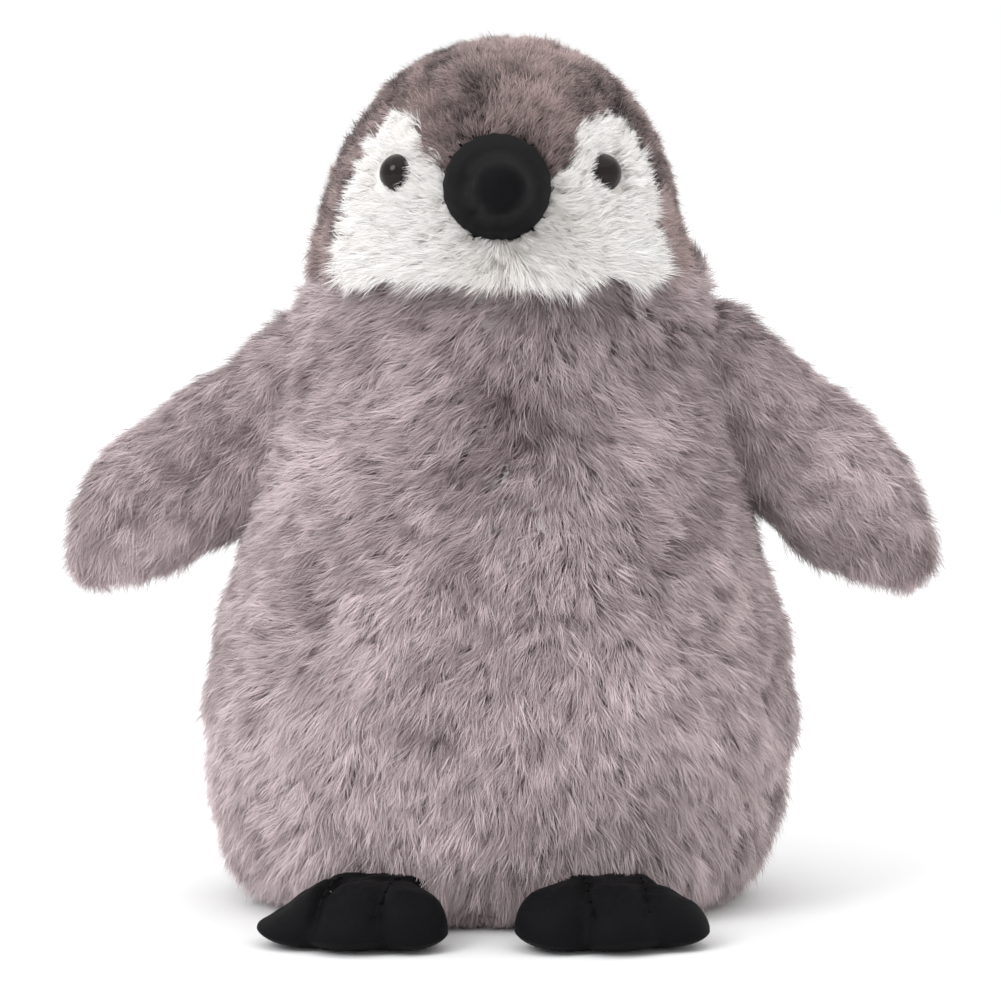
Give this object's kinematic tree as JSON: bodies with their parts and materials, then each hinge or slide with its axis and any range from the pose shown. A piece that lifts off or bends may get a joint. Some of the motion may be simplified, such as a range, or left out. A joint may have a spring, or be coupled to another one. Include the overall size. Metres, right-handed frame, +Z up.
{
  "type": "plush penguin",
  "caption": "Standing plush penguin chick in long grey fur with a dark cap, white cheeks, black velour beak and feet, and soft sewn flippers.",
  "frame": {"origin": "middle of the resting base, under the middle of the whole box", "axes": "+Z up, the penguin faces -Y, and its own left side is at +X"},
  "size_m": [0.2486, 0.168, 0.25],
  "materials": {
    "body_fur": "long grey-mauve faux fur",
    "cap_fur": "shorter dark taupe faux fur",
    "face_fur": "white faux fur",
    "black_velour": "short-nap black velour",
    "polyester_fill": "loose polyester fibre",
    "pouch_cloth": "plain woven cloth",
    "pellets": "small plastic pellets",
    "grey_thread": "sewing thread",
    "black_thread": "sewing thread",
    "eye_plastic": "polished black",
    "washer_plastic": "moulded"
  },
  "bodies": {
    "torso": {"body_front_panel": "body_fur", "body_back_panel_left": "body_fur", "body_back_panel_right": "body_fur", "body_base_panel": "body_fur", "body_stuffing": "polyester_fill", "pellet_pouch": "pouch_cloth", "pellet_fill": "pellets", "closing_stitches": "grey_thread"},
    "head": {"crown_panel": "cap_fur", "head_side_panel_left": "cap_fur", "head_side_panel_right": "cap_fur", "face_panel_left": "face_fur", "face_panel_right": "face_fur", "head_stuffing": "polyester_fill", "beak_cover": "black_velour", "beak_stuffing": "polyester_fill", "beak_edge_stitches": "black_thread", "eye_left": "eye_plastic", "eye_right": "eye_plastic", "eye_washer_left": "washer_plastic", "eye_washer_right": "washer_plastic"},
    "flipper_left": {"flipper_left_front_panel": "body_fur", "flipper_left_back_panel": "body_fur", "flipper_left_stuffing": "polyester_fill"},
    "foot_left": {"foot_left_upper": "black_velour", "foot_left_sole": "black_velour", "foot_left_stuffing": "polyester_fill", "toe_stitches_left": "black_thread"},
    "flipper_right": {"flipper_right_front_panel": "body_fur", "flipper_right_back_panel": "body_fur", "flipper_right_stuffing": "polyester_fill"},
    "foot_right": {"foot_right_upper": "black_velour", "foot_right_sole": "black_velour", "foot_right_stuffing": "polyester_fill", "toe_stitches_right": "black_thread"}
  },
  "joints": [
    {"name": "head_turn", "type": "hinge", "parent": "torso", "child": "head", "pos_m": [0, 0.012, 0.1843], "axis": [0, 0, 1], "range_deg": [-30, 30], "stiffness_Nm_per_rad": 0.6},
    {"name": "flipper_left_raise", "type": "hinge", "parent": "torso", "child": "flipper_left", "pos_m": [0.06, 0.014, 0.15], "axis": [0, -1, 0], "range_deg": [-8, 75], "stiffness_Nm_per_rad": 0.4},
    {"name": "flipper_right_raise", "type": "hinge", "parent": "torso", "child": "flipper_right", "pos_m": [-0.06, 0.014, 0.15], "axis": [0, 1, 0], "range_deg": [-8, 75], "stiffness_Nm_per_rad": 0.4},
    {"name": "foot_left_lift", "type": "hinge", "parent": "torso", "child": "foot_left", "pos_m": [0.0285, -0.036, 0.007], "axis": [-1, 0, 0], "range_deg": [0, 20], "stiffness_Nm_per_rad": 0.2},
    {"name": "foot_right_lift", "type": "hinge", "parent": "torso", "child": "foot_right", "pos_m": [-0.0345, -0.036, 0.007], "axis": [-1, 0, 0], "range_deg": [0, 20], "stiffness_Nm_per_rad": 0.2}
  ]
}
